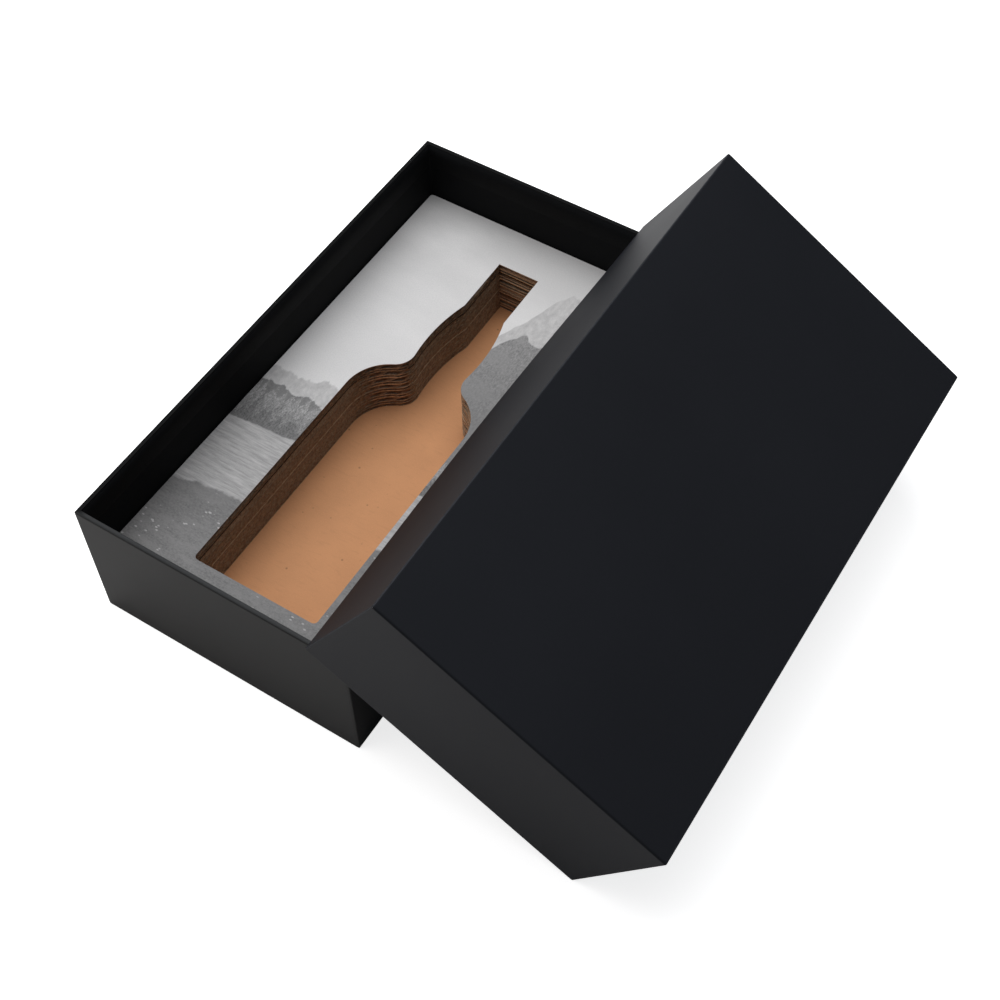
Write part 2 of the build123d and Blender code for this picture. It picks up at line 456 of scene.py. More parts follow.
def kraft(name, colour):
    """Brown kraft liner with fibres, faint clouds and a few specks."""
    recipe = Recipe(name)
    fibres = recipe.noise(1400.0, detail=3.0, roughness=0.65)
    strands = recipe.noise(520.0, stretch=(0.25, 1.0, 1.0))
    tone = recipe.cloudy(recipe.noise(38.0, detail=4.0), colour, 0.05)
    tone = recipe.mix(recipe.span(fibres, 0.5, 0.8, 0.0, 0.5), tone, shade(colour, 1.28))
    tone = recipe.mix(recipe.span(strands, 0.55, 0.8, 0.0, 0.25), tone, shade(colour, 0.72))
    specks = recipe.span(recipe.cells(120.0), 0.06, 0.11, 0.7, 0.0)
    kept = recipe.span(recipe.noise(90.0), 0.52, 0.57)
    tone = recipe.mix(recipe.times(specks, kept), tone, shade(colour, 0.45))
    normal = recipe.bump(recipe.plus(fibres, strands), distance=0.00005, strength=0.4)
    return recipe.finish(tone, roughness=0.72, specular=0.3, normal=normal)


def crest_line(recipe, across, level, rise, jag, wave, seed):
    """The uneven upper edge of a hill or a shore, as its height along the print for each place across."""
    profile = recipe.noise(
        1.0, detail=6.0, roughness=0.55, stretch=(wave, 0.0, 0.0), shift=(seed, seed, 0.0))
    swing = recipe.times(recipe.minus(profile, 0.5), jag)
    return recipe.plus(swing, recipe.plus(recipe.times(across, rise), level))


def tree_tops(recipe, across, count, height, seed):
    """A row of pointed tree tops of uneven size and with ragged edges."""
    uneven = recipe.noise(1.0, detail=1.0, stretch=(count * 6.0, 0.0, 0.0), shift=(seed, seed, 0.0))
    row = recipe.plus(recipe.times(across, count), recipe.times(uneven, 2.2))
    spire = recipe.minus(1.0, recipe.times(recipe.away(recipe.math("FRACT", row), 0.5), 2.0))
    sized = recipe.times(spire, recipe.span(uneven, 0.3, 0.7, 0.35, 1.0))
    ragged = recipe.minus(recipe.noise(1100.0, detail=3.0, roughness=0.6), 0.5)
    return recipe.times(recipe.plus(sized, ragged), height)


def printed_paper(name, settings):
    """A lake between wooded hills, as an old grey photograph: open sky, hills, trees, water and shore."""
    recipe = Recipe(name)
    low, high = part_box("insert_print")
    spread = recipe.mapped(scale=(2 / (high.x - low.x), 2 / (high.y - low.y), 1.0))
    across = recipe.axis("X", spread)
    along = recipe.axis("Y", spread)
    sky = tuple(settings.sky_colour)
    hill = tuple(settings.hill_colour)
    forest = tuple(settings.forest_colour)
    lake = tuple(settings.lake_colour)
    meadow = tuple(settings.meadow_colour)

    def lay_over(under, crest, soft, colour):
        """Paints everything below a crest line."""
        return recipe.mix(recipe.span(recipe.minus(crest, along), 0.0, soft), under, colour)

    def rough(scale, stretch, dark, light):
        """A rough surface between two greys."""
        strokes = recipe.noise(scale, detail=6.0, roughness=0.68, stretch=stretch)
        return recipe.mix(recipe.span(strokes, 0.32, 0.68), dark, light)

    wisps = recipe.noise(9.0, detail=5.0, roughness=0.6, stretch=(0.7, 1.5, 1.0))
    tone = recipe.mix(recipe.span(along, 0.2, 1.0), shade(sky, 1.04), shade(sky, 0.84))
    tone = recipe.mix(recipe.span(wisps, 0.42, 0.72, 0.0, 0.7), tone, shade(sky, 1.16))

    # Two ranges of hills that rise to the right, the nearer one darker
    far_rise = recipe.span(across, -0.15, 0.5, smooth=True)
    far_crest = crest_line(recipe, far_rise, level=-0.01, rise=0.84, jag=0.26, wave=34.0, seed=1.7)
    slopes = rough(170.0, (1.4, 0.8, 1.0), shade(hill, 1.18), shade(hill, 1.62))
    tone = lay_over(tone, far_crest, 0.010, slopes)
    near_rise = recipe.span(across, -0.25, 0.4, smooth=True)
    near_crest = crest_line(recipe, near_rise, level=-0.10, rise=0.66, jag=0.16, wave=52.0, seed=5.1)
    woods = rough(700.0, (1.5, 0.7, 1.0), shade(hill, 0.42), shade(hill, 0.98))
    clearings = recipe.span(recipe.noise(60.0, detail=4.0), 0.50, 0.58, 0.0, 0.6)
    open_ground = rough(600.0, (1.0, 1.0, 1.0), shade(hill, 0.62), shade(hill, 0.95))
    woods = recipe.mix(clearings, woods, open_ground)
    woods = recipe.mix(recipe.span(along, 0.1, 0.6, 0.55, 0.0), woods, shade(forest, 0.85))
    tone = lay_over(tone, near_crest, 0.006, woods)

    # Rows of trees along the far shore, each with its number, height, grey, lift and seed, and the water
    shore_line = crest_line(recipe, across, level=-0.235, rise=0.04, jag=0.03, wave=60.0, seed=2.9)
    rows = (
        (15.0, 0.075, 1.30, 0.11, 3.3),
        (12.0, 0.080, 1.00, 0.055, 8.1),
        (10.0, 0.085, 0.72, 0.0, 5.6),
    )
    for count, height, grey, lift, seed in rows:
        tops = recipe.plus(recipe.plus(shore_line, tree_tops(recipe, across, count, height, seed)), lift)
        needles = rough(760.0, (1.6, 0.8, 1.0), shade(forest, grey * 0.55), shade(forest, grey * 1.85))
        tone = lay_over(tone, tops, 0.004, needles)
    ripples = rough(330.0, (0.22, 2.2, 1.0), shade(lake, 0.82), shade(lake, 1.40))
    tone = lay_over(tone, recipe.minus(shore_line, 0.02), 0.006, ripples)

    # The near shore: grass and stones, darker towards the water
    bank = crest_line(recipe, across, level=-0.53, rise=0.08, jag=0.08, wave=52.0, seed=6.4)
    blades = rough(900.0, (0.6, 1.0, 1.0), shade(meadow, 0.70), shade(meadow, 1.35))
    strokes = recipe.noise(120.0, detail=6.0, roughness=0.7, stretch=(0.4, 1.6, 1.0))
    ground = recipe.mix(recipe.span(strokes, 0.42, 0.62, 0.0, 0.7), blades, shade(meadow, 1.35))
    stones = recipe.plus(recipe.cells(210.0, stretch=(0.9, 1.7, 1.0)), recipe.times(strokes, 0.3))
    stones = recipe.span(stones, 0.30, 0.38, 1.0, 0.0)
    strewn = recipe.span(recipe.noise(38.0, detail=3.0), 0.53, 0.58)
    ground = recipe.mix(recipe.times(stones, strewn), ground, shade(meadow, 2.6))
    ground = recipe.mix(recipe.span(along, -0.8, -0.5, 0.0, 0.30), ground, shade(meadow, 0.5))
    tone = lay_over(tone, bank, 0.010, ground)

    # Film grain and a few dark dots of dust
    grain = recipe.noise(1500.0, detail=2.0, roughness=0.7)
    tone = recipe.mix(recipe.span(grain, 0.3, 0.7, 0.0, 0.14), tone, (0.02, 0.02, 0.02))
    dust = recipe.span(recipe.cells(42.0), 0.016, 0.03, 0.6, 0.0)
    kept = recipe.span(recipe.noise(31.0), 0.58, 0.6)
    tone = recipe.mix(recipe.times(dust, kept), tone, (0.14, 0.14, 0.14))
    normal = recipe.bump(recipe.noise(1900.0, detail=3.0), distance=0.00003, strength=0.25)
    return recipe.finish(tone, roughness=0.62, specular=0.3, normal=normal)


# Building blocks for meshes

def new_piece(name, bm, materials):
    """Makes a smooth-shaded object at the origin out of a finished bmesh."""
    mesh = bpy.data.meshes.new(name)
    bm.to_mesh(mesh)
    bm.free()
    for material in materials:
        mesh.materials.append(material)
    mesh.shade_smooth()
    mesh.set_sharp_from_angle(angle=SHARP_ANGLE)
    piece = bpy.data.objects.new(name, mesh)
    bpy.context.scene.collection.objects.link(piece)
    return piece


def stand_in_for(piece, body, slot, *nodes):
    """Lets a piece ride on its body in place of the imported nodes."""
    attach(piece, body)
    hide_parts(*nodes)


def give_material(node, material):
    """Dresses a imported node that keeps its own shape."""
    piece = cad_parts[node]
    piece.data.materials.clear()
    piece.data.materials.append(material)


def copy_of(node):
    """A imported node's mesh as a bmesh, its loose triangles merged."""
    bm = bmesh.new()
    bm.from_mesh(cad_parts[node].data)
    bmesh.ops.remove_doubles(bm, verts=bm.verts[:], dist=MERGE_DISTANCE)
    return bm


class Tray:
    """A packed tray's own frame: its panel at the foot, its mouth along its own Z."""

    def __init__(self, name):
        self.name = name
        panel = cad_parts[TRAYS[name]["panel"]].data
        up = max(panel.polygons, key=lambda face: face.area).normal.copy()
        along = Vector((0, 1, 0))
        for upward in (up, -up):
            across = along.cross(upward)
            self.turn = Matrix((across, along, upward)).transposed()
            wrap = self.measure(f"{name}_wrap")
            board = self.measure(TRAYS[name]["panel"])
            if board[0].z + board[1].z < wrap[0].z + wrap[1].z:
                break
        side = self.measure(TRAYS[name]["side"])
        lining = self.measure(f"{name}_lining")
        self.size = wrap[1] - wrap[0]
        self.paper = (self.size.x - (board[1].x - board[0].x)) / 2
        self.board = side[1].x - side[0].x
        self.rim = 2 * self.paper + self.board
        self.lining_drop = wrap[1].z - lining[1].z
        middle = (wrap[0] + wrap[1]) / 2
        foot = self.turn @ Vector((middle.x, middle.y, wrap[0].z))
        self.place = Matrix.Translation(foot) @ self.turn.to_4x4()

        # The turned-in paper's cut edge and the lining's thickness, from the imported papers
        half = self.size / 2
        near_mouth = half.x - self.paper - self.board + MERGE_DISTANCE
        points = self.points(f"{name}_wrap", self.place)
        inner = [point.z for point in points if abs(point.x) < near_mouth and point.z > half.z]
        self.turned_in = self.size.z - min(inner)
        floor = self.paper + self.board
        points = self.points(f"{name}_lining", self.place)
        self.lining = min(point.z for point in points if point.z > floor + MERGE_DISTANCE) - floor

    def points(self, node, place):
        """A node's vertices as the given frame sees them."""
        inverse = place.inverted()
        return [inverse @ vertex.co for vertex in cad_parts[node].data.vertices]

    def measure(self, node):
        """A node's lowest and highest corner along the tray's own axes."""
        points = self.points(node, self.turn)
        low = Vector(min(point[axis] for point in points) for axis in range(3))
        high = Vector(max(point[axis] for point in points) for axis in range(3))
        return low, high

    def bulge(self, points, amount):
        """Bends the lid's raised wall outwards, most at the middle of its rim."""
        if self.name != "lid":
            return
        band = self.size.x / 2 - 2 * self.rim
        for vertex in points:
            if vertex.co.x > band:
                along = 1.0 - (2 * vertex.co.y / self.size.y) ** 2
                rise = min(1.0, max(0.0, vertex.co.z / self.size.z))
                vertex.co.x += amount * max(0.0, along) ** 2 * rise ** 1.3

    def put_in_place(self, bm, settings):
        """Bulges what was made in the tray's own frame and moves it to where the tray is."""
        self.bulge(bm.verts, settings.wall_bow)
        bmesh.ops.transform(bm, matrix=self.place, verts=bm.verts[:])
        bm.normal_update()
        return bm


def open_box(width, length, foot, top):
    """A box without its upper side."""
    bm = bmesh.new()
    bmesh.ops.create_cube(bm, size=1.0)
    bmesh.ops.scale(bm, vec=(width, length, top - foot), verts=bm.verts[:])
    bmesh.ops.translate(bm, vec=(0, 0, (foot + top) / 2), verts=bm.verts[:])
    upper = [face for face in bm.faces if face.normal.z > 0.5]
    bmesh.ops.delete(bm, geom=upper, context="FACES_ONLY")
    return bm


def extend(bm, edges, stretch, lift):
    """Grows a new band of faces from the edges, and returns the band's far edges."""
    made = bmesh.ops.extrude_edge_only(bm, edges=edges)["geom"]
    points = [item for item in made if isinstance(item, bmesh.types.BMVert)]
    bmesh.ops.scale(bm, vec=(*stretch, 1.0), verts=points)
    bmesh.ops.translate(bm, vec=(0, 0, lift), verts=points)
    return [item for item in made if isinstance(item, bmesh.types.BMEdge)]


def cut_across(bm, axis, value):
    """Cuts every face along the plane where one coordinate has this value."""
    normal = Vector((0, 0, 0))
    normal[axis] = 1
    everything = bm.verts[:] + bm.edges[:] + bm.faces[:]
    bmesh.ops.bisect_plane(
        bm, geom=everything, dist=MERGE_DISTANCE / 10, plane_co=normal * value, plane_no=normal)


def cut_grid(bm, reaches, spacing, lines):
    """Cuts along each axis at its given lines, and evenly over its reach; only Z starts at zero."""
    for axis, reach in reaches.items():
        count = max(2, round(reach / spacing))
        start = 0.0 if axis == 2 else -reach / 2
        evenly = [start + reach * (number + 0.5) / count for number in range(count)]
        for value in lines.get(axis, []) + evenly:
            cut_across(bm, axis, value)


def round_edges(bm, edges, radius, segments=4):
    """Rounds folds."""
    bmesh.ops.bevel(
        bm, geom=edges, offset=radius, offset_type="OFFSET", segments=segments,
        profile=0.5, affect="EDGES", clamp_overlap=True, material=-1)


def waviness(place, scale, seed):
    """Smooth noise from 0 to 1, which gives the same shape each time."""
    return 0.5 + 0.5 * noise.noise(place * scale + Vector(seed))


def fold_gap(tray, settings, place, half):
    """Distance to the fold along the base's front rim or the lid's front edge."""
    fold_level = tray.size.z if tray.name == "base" else 0.0
    return max(abs(place.z - fold_level), half.y + place.y) - settings.edge_radius


def painted_shade_at(tray, settings, place, half, mouth):
    """How much painted shade darkens the covering paper and its sheen at a place."""
    if fold_gap(tray, settings, place, half) < MERGE_DISTANCE:
        return settings.painted_fold_shade
    far_rim = place.x < MERGE_DISTANCE - mouth.x or place.y > mouth.y - MERGE_DISTANCE
    if tray.name == "base" and far_rim and place.z > tray.size.z - settings.edge_radius:
        return settings.painted_rim_shade
    if tray.name == "lid" and place.x > half.x - MERGE_DISTANCE:
        return settings.painted_wall_shade * max(0.0, 1.0 - (place.y / half.y) ** 2)
    return 0.0


def make_wrap(tray, settings):
    """The covering paper of one tray: outside, over the rim and down the inside."""
    width, length, height = tray.size
    step = settings.lap_step
    radius = settings.edge_radius
    half = Vector((width / 2, length / 2 - step, height))
    mouth = Vector((half.x - tray.rim, length / 2 - tray.rim, height))

    bm = open_box(2 * half.x, 2 * half.y, 0.0, height)
    edges = [edge for edge in bm.edges if edge.is_boundary]
    edges = extend(bm, edges, (mouth.x / half.x, mouth.y / half.y), 0.0)
    extend(bm, edges, (1.0, 1.0), -tray.turned_in)

    def is_inner(edge):
        """Whether an edge lies at the mouth or inside it."""
        return all(
            abs(vertex.co.x) < mouth.x + MERGE_DISTANCE
            and abs(vertex.co.y) < mouth.y + MERGE_DISTANCE
            and vertex.co.z > height / 2
            for vertex in edge.verts
        )

    for inner, fold_radius in ((False, radius), (True, settings.mouth_radius)):
        joined = [edge for edge in bm.edges if not edge.is_boundary]
        folds = [edge for edge in joined if edge.calc_face_angle(0.0) > FOLD_ANGLE]
        round_edges(bm, [edge for edge in folds if is_inner(edge) == inner], fold_radius)

    # Cuts beside the folds and at the end papers' edges, and a grid over the panels
    beside = radius + 0.8 * MILLIMETRE
    lap = half.x - settings.lap_inset
    lines = {
        0: [beside - half.x, half.x - beside, -lap, lap, step - lap, lap - step],
        1: [beside - half.y, half.y - beside],
        2: [beside, height - beside],
    }
    cut_grid(bm, {0: 2 * half.x, 1: 2 * half.y, 2: height}, settings.grid, lines)

    # The end papers lie over the flaps of the long walls
    for vertex in bm.verts:
        on_end = abs(vertex.co.y) > half.y - radius - MERGE_DISTANCE
        if on_end and abs(vertex.co.x) < lap - step / 2:
            vertex.co.y += math.copysign(step, vertex.co.y)

    # Along the folds: worn paper mixed with a painted highlight
    rub = bm.verts.layers.float.new("rub")
    # Painted shade on the front folds, the base's far rims and the lid's raised wall
    dim = bm.verts.layers.float.new("dim")
    for vertex in bm.verts:
        place = vertex.co
        gaps = sorted((half.x - abs(place.x), half.y - abs(place.y), place.z, height - place.z))
        near = 1.0 - min(1.0, max(0.0, (gaps[1] - 0.2 * radius) / radius))
        vertex[rub] = near if fold_gap(tray, settings, place, half) > MERGE_DISTANCE else 0.0
        vertex[dim] = painted_shade_at(tray, settings, place, half, mouth)
        past_mouth = max(abs(place.x) - mouth.x, abs(place.y) - mouth.y)
        inside = past_mouth < MERGE_DISTANCE and place.z > 2 * radius
        sag = min(1.0, max(0.0, (gaps[1] - beside) / settings.grid))
        if sag > 0 and not inside:
            wave = waviness(place, WRAP_WAVES, (0, 0, len(tray.name)))
            vertex.co -= vertex.normal * settings.unevenness * sag * wave
    return tray.put_in_place(bm, settings)


def make_lining(tray, settings):
    """The lining paper: over the panel, up the walls and over the turned-in edge of the covering."""
    lining = tray.lining
    skin = tray.paper + tray.board + lining
    half = Vector((tray.size.x / 2 - skin, tray.size.y / 2 - skin, 0))
    step = tray.size.z - tray.turned_in - lining
    top = tray.size.z - tray.lining_drop

    bm = open_box(2 * half.x, 2 * half.y, skin, step)
    edges = [edge for edge in bm.edges if edge.is_boundary]
    edges = extend(bm, edges, ((half.x - lining) / half.x, (half.y - lining) / half.y), lining)
    extend(bm, edges, (1.0, 1.0), top - step - lining)

    def is_upright(edge):
        """Whether an edge runs up one of the four corners."""
        first, second = (vertex.co for vertex in edge.verts)
        at_corner = all(
            abs(abs(end.x) - half.x) < 2 * lining and abs(abs(end.y) - half.y) < 2 * lining
            for end in (first, second)
        )
        return at_corner and first.x * second.x > 0 and first.y * second.y > 0

    corners = [edge for edge in bm.edges if is_upright(edge) and not edge.is_boundary]
    panel_edges = [
        edge for edge in bm.edges if all(vertex.co.z < skin + MERGE_DISTANCE for vertex in edge.verts)
    ]
    round_edges(bm, corners + panel_edges, settings.corner_radius, segments=3)

    lap = half.x - settings.lining_lap
    lines = {
        0: [-lap, lap, settings.lap_step - lap, lap - settings.lap_step],
        2: [step - 2 * MILLIMETRE],
    }
    cut_grid(bm, {0: 2 * half.x, 1: 2 * half.y, 2: top}, settings.grid, lines)

    # The long walls' sheets lap over the end walls; between the glued places the paper rises a little
    for vertex in bm.verts:
        place = vertex.co
        on_side = abs(place.x) > half.x - 2 * lining
        on_end = abs(place.y) > half.y - 2 * lining
        if on_end and abs(place.x) > lap - settings.lap_step / 2:
            place.y -= math.copysign(settings.lap_step, place.y)
        gap = min(10 * MILLIMETRE if on_side else half.x - abs(place.x), top - place.z)
        wave = waviness(place, LINING_WAVES, (3, 0, len(tray.name)))
        rise = settings.unevenness * wave * min(1.0, max(0.0, gap / settings.grid))
        if on_side:
            place.x -= math.copysign(rise, place.x)
        elif abs(place.y) > half.y - 2 * lining:
            place.y -= math.copysign(rise, place.y)
    return tray.put_in_place(bm, settings)


def bowed_copy(tray, node, settings):
    """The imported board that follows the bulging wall."""
    bm = copy_of(node)
    bmesh.ops.transform(bm, matrix=tray.place.inverted(), verts=bm.verts[:])
    cut_grid(bm, {1: tray.size.y, 2: tray.size.z}, settings.grid, {})
    return tray.put_in_place(bm, settings)


def sheet_outline(name, settings, crush, wander, core):
    """A packed sheet, made taller or a smaller core, its cut-out moved and its upper edge pressed back."""
    bm = copy_of(name)
    bmesh.ops.recalc_face_normals(bm, faces=bm.faces[:])
    bm.normal_update()
    low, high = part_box(name)
    middle_z = (low.z + high.z) / 2
    margin = 5 * MILLIMETRE
    taller = -settings.liner / 4 if core else MILLIMETRE
    outward = {vertex: Vector((vertex.normal.x, vertex.normal.y, 0)).normalized() for vertex in bm.verts}
    pressed = []
    for vertex, normal in outward.items():
        place = vertex.co
        is_high = place.z > middle_z
        rim = min(place.x - low.x, high.x - place.x, place.y - low.y, high.y - place.y)
        in_cutout = rim > margin
        place.z += taller if is_high else -taller
        if core:
            inset = settings.closed_behind if in_cutout else (settings.open_border, settings.open_border)
            place.x -= normal.x * inset[0]
            place.y -= normal.y * inset[1]
        if in_cutout:
            place += wander
            if is_high:
                pressed.append(vertex)
    if crush > 0:
        cut_across(bm, 2, high.z - settings.crush_height)
        for vertex in pressed:
            vertex.co.x -= outward[vertex].x * crush * (1.0 + taller / settings.crush_height)
    return bm


def add_liner(bm, low, high, foot, thickness):
    """One flat paper of the corrugated board."""
    made = bmesh.ops.create_cube(bm, size=1.0)["verts"]
    bmesh.ops.scale(bm, vec=(high.x - low.x, high.y - low.y, thickness), verts=made)
    middle = Vector(((low.x + high.x) / 2, (low.y + high.y) / 2, foot + thickness / 2))
    bmesh.ops.translate(bm, vec=middle, verts=made)


def add_fluting(bm, low, high, foot, height, pitch, phase, thickness):
    """One waved paper: its waves run along X and follow each other along Y."""
    length = high.y - low.y
    steps = round(length / pitch * STEPS_PER_WAVE)
    sheet = bmesh.ops.create_grid(bm, x_segments=1, y_segments=steps, size=0.5)["verts"]
    bmesh.ops.scale(bm, vec=(high.x - low.x, length, 1.0), verts=sheet)
    middle = Vector(((low.x + high.x) / 2, (low.y + high.y) / 2, foot + thickness / 2))
    bmesh.ops.translate(bm, vec=middle, verts=sheet)
    swing = (height - thickness) / 2
    for vertex in sheet:
        turn = 2 * math.pi * vertex.co.y / pitch + phase
        vertex.co.z += swing + swing * math.sin(turn)
    faces = {face for vertex in sheet for face in vertex.link_faces}
    made = bmesh.ops.solidify(bm, geom=list(faces), thickness=thickness)["geom"]
    added = {item for item in made if isinstance(item, bmesh.types.BMVert)}
    bmesh.ops.translate(bm, vec=(0, 0, thickness / 2), verts=list(added | set(sheet)))


def corrugated_papers(low, high, settings, chance, double):
    """The flat and waved papers of one sheet of board, a little larger than the sheet itself."""
    gap = settings.glue_gap
    walls = 2 if double else 1
    waves = high.z - low.z - (walls + 1) * settings.liner - 2 * walls * gap
    shares = (settings.small_flute_share, 1.0 - settings.small_flute_share) if double else (1.0,)
    pitches = (settings.small_pitch, settings.large_pitch)
    margin = Vector((MILLIMETRE, MILLIMETRE, 0))
    corners = (low - margin, high + margin)
    foot = low.z
    bm = bmesh.new()
    for share, pitch in zip(shares, pitches):
        phase = chance.uniform(0, 2 * math.pi)
        add_liner(bm, *corners, foot, settings.liner)
        foot += settings.liner + gap
        add_fluting(bm, *corners, foot, waves * share, pitch, phase, settings.medium)
        foot += waves * share + gap
    add_liner(bm, *corners, foot, settings.liner)
    bmesh.ops.recalc_face_normals(bm, faces=bm.faces[:])
    return bm


def trim(piece, outline_mesh):
    """Keeps only what of a piece lies inside the outline."""
    outline = new_piece("outline", outline_mesh, [])
    cut = piece.modifiers.new("trim", "BOOLEAN")
    cut.operation = "INTERSECT"
    cut.solver = "EXACT"
    cut.object = outline
    evaluated = piece.evaluated_get(bpy.context.evaluated_depsgraph_get())
    trimmed = bpy.data.meshes.new_from_object(evaluated)
    piece.modifiers.clear()
    left_over = (piece.data, outline.data)
    piece.data = trimmed
    bpy.data.objects.remove(outline)
    for mesh in left_over:
        bpy.data.meshes.remove(mesh)


def add_solid(piece, solid):
    """Joins a finished solid to a piece."""
    extra = bpy.data.meshes.new("extra")
    solid.to_mesh(extra)
    solid.free()
    both = bmesh.new()
    both.from_mesh(piece.data)
    both.from_mesh(extra)
    both.to_mesh(piece.data)
    both.free()
    bpy.data.meshes.remove(extra)


def note_sides(piece):
    """Shades a sheet and notes for its material how much each face looks across the box."""
    piece.data.shade_smooth()
    piece.data.set_sharp_from_angle(angle=SHARP_ANGLE)
    side = piece.data.attributes.new("side", "FLOAT", "FACE")
    for face in piece.data.polygons:
        side.data[face.index].value = abs(Vector((face.normal.x, face.normal.y)).normalized().x)


def make_sheet(name, settings, crush, chance, material):
    """One corrugated sheet, trimmed to its packed outline with whatever is cut out of it."""
    low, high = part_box(name)
    papers = corrugated_papers(low, high, settings, chance, name != SPACER)
    piece = new_piece(f"corrugated_{name}", papers, [material])
    wander = Vector((chance.uniform(-1, 1), chance.uniform(-1, 1), 0)) * settings.wander
    trim(piece, sheet_outline(name, settings, crush, wander, core=False))
    add_solid(piece, sheet_outline(name, settings, crush, wander, core=True))
    note_sides(piece)
    return piece


def thicken(piece, thickness, offset):
    """Gives a sheet of paper its thickness."""
    thick = piece.modifiers.new("paper_thickness", "SOLIDIFY")
    thick.thickness = thickness
    thick.offset = offset
    thick.use_even_offset = True


# Operators, one for each piece or group of like pieces

class GIFTBOX_OT_wraps(bpy.types.Operator):
    """Makes the covering papers of the base and the lid"""

    bl_idname = "giftbox.wraps"
    bl_label = "Covering papers"

    def execute(self, context):
        settings = context.scene.giftbox_paper
        finishes = {
            "base": (settings.base_colour, settings.base_sheen),
            "lid": (settings.lid_colour, settings.lid_sheen),
        }
        for name, (colour, sheen) in finishes.items():
            tray = Tray(name)
            material = covering_paper(f"{name}_covering_paper", tuple(colour), sheen)
            wrap = new_piece(f"{name}_covering", make_wrap(tray, settings), [material])
            thicken(wrap, tray.paper, -1)
            wrap.modifiers.new("flat_panels", "WEIGHTED_NORMAL").keep_sharp = True
            stand_in_for(wrap, name, f"{name}_wrap_paper", f"{name}_wrap")
        return {"FINISHED"}


class GIFTBOX_OT_linings(bpy.types.Operator):
    """Makes the lining papers of the base and the lid"""

    bl_idname = "giftbox.linings"
    bl_label = "Lining papers"

    def execute(self, context):
        settings = context.scene.giftbox_paper
        material = lining_paper("tray_lining", tuple(settings.lining_colour))
        for name in TRAYS:
            tray = Tray(name)
            lining = new_piece(f"{name}_lining_paper", make_lining(tray, settings), [material])
            thicken(lining, tray.lining, 1)
            stand_in_for(lining, name, "lining_paper", f"{name}_lining")
        return {"FINISHED"}


class GIFTBOX_OT_boards(bpy.types.Operator):
    """Dresses the greyboards and the gummed corner strips, and bends the lid's raised board"""

    bl_idname = "giftbox.boards"
    bl_label = "Boards and corner stays"

    def execute(self, context):
        settings = context.scene.giftbox_paper
        grey = board_grey("raw_greyboard")
        gummed = gummed_paper("gummed_strip")
        raised = TRAYS["lid"]["side"]
        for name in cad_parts:
            if name.endswith("_board") and not name.startswith("insert") and name != raised:
                give_material(name, grey)
            elif name.endswith("_corner_stays"):
                give_material(name, gummed)
        bowed = new_piece("bowed_raised_board", bowed_copy(Tray("lid"), raised, settings), [grey])
        stand_in_for(bowed, "lid", "greyboard", raised)
        return {"FINISHED"}


class GIFTBOX_OT_layers(bpy.types.Operator):
    """Makes the die-cut corrugated layers of the insert and the thin sheet under them"""

    bl_idname = "giftbox.layers"
    bl_label = "Corrugated layers"

    def execute(self, context):
        settings = context.scene.giftbox_insert
        single_wall = corrugated("single_wall_board", settings, SPACER, False)
        double_wall = corrugated("double_wall_board", settings, LAYERS[0], True)
        chance = random.Random(LAYER_SEED)
        for name, crush in zip(SHEETS, settings.crush):
            material = single_wall if name == SPACER else double_wall
            piece = make_sheet(name, settings, crush, chance, material)
            stand_in_for(piece, "insert", "corrugated_board", name)
        return {"FINISHED"}


class GIFTBOX_OT_floor_board(bpy.types.Operator):
    """Makes the kraft board under the cut-out"""

    bl_idname = "giftbox.floor_board"
    bl_label = "Insert floor board"

    def execute(self, context):
        settings = context.scene.giftbox_insert
        material = kraft("floor_kraft", tuple(settings.floor_colour))
        chance = random.Random(FLOOR_SEED)
        piece = make_sheet("insert_floor_board", settings, 0.0, chance, material)
        stand_in_for(piece, "insert", "kraft_floor", "insert_floor_board")
        return {"FINISHED"}


class GIFTBOX_OT_print(bpy.types.Operator):
    """Prints the insert's top sheet"""

    bl_idname = "giftbox.print"
    bl_label = "Printed sheet"

    def execute(self, context):
        material = printed_paper("grey_landscape", context.scene.giftbox_print)
        give_material("insert_print", material)
        return {"FINISHED"}


class GIFTBOX_OT_stage(bpy.types.Operator):
    """Sets up the pale floor, the soft light and the camera"""

    bl_idname = "giftbox.stage"
    bl_label = "Studio"

    def execute(self, context):
        settings = context.scene.giftbox_studio
        make_floor(settings)
        make_world(settings)
        make_lamps(settings)
        make_camera(context, settings)
        context.scene.view_settings.view_transform = "Standard"
        return {"FINISHED"}


def make_floor(settings):
    """A pale floor that shows white, is mirrored as a glow, and keeps the box's soft shadow."""
    bm = bmesh.new()
    bmesh.ops.create_grid(bm, x_segments=1, y_segments=1, size=settings.floor_size / 2)
    recipe = Recipe("studio_floor")
    recipe.finish((*settings.floor_colour, 1.0), roughness=0.9, specular=0.0)
    rays = recipe.node("ShaderNodeLightPath").outputs
    middle = (cad_low + cad_high) / 2
    from_middle = recipe.mapped(shift=(-middle.x, -middle.y, 0.0))
    from_box = recipe.node("ShaderNodeVectorMath", {0: from_middle}, operation="LENGTH").outputs["Value"]

    far = recipe.span(from_box, settings.floor_near, settings.floor_far, smooth=True)
    behind = recipe.span(recipe.axis("Y", from_middle), settings.back_near, settings.back_far)
    glossy = recipe.times(rays["Is Glossy Ray"], settings.mirror_glow)
    mirrored = recipe.times(recipe.math("MAXIMUM", far, behind), glossy)
    level = recipe.span(
        from_box, settings.floor_far, 2 * settings.floor_far, settings.floor_glow, settings.far_glow)
    direct = recipe.math("MAXIMUM", rays["Is Camera Ray"], rays["Is Transmission Ray"])
    glow = recipe.math("MAXIMUM", recipe.times(direct, level), mirrored)
    white = recipe.node("ShaderNodeEmission", {"Color": (1, 1, 1, 1), "Strength": glow})
    both = recipe.node("ShaderNodeAddShader", {0: recipe.shader.outputs[0], 1: white.outputs[0]})
    recipe.links.new(both.outputs[0], recipe.nodes["Material Output"].inputs["Surface"])
    floor = new_piece("floor", bm, [recipe.material])


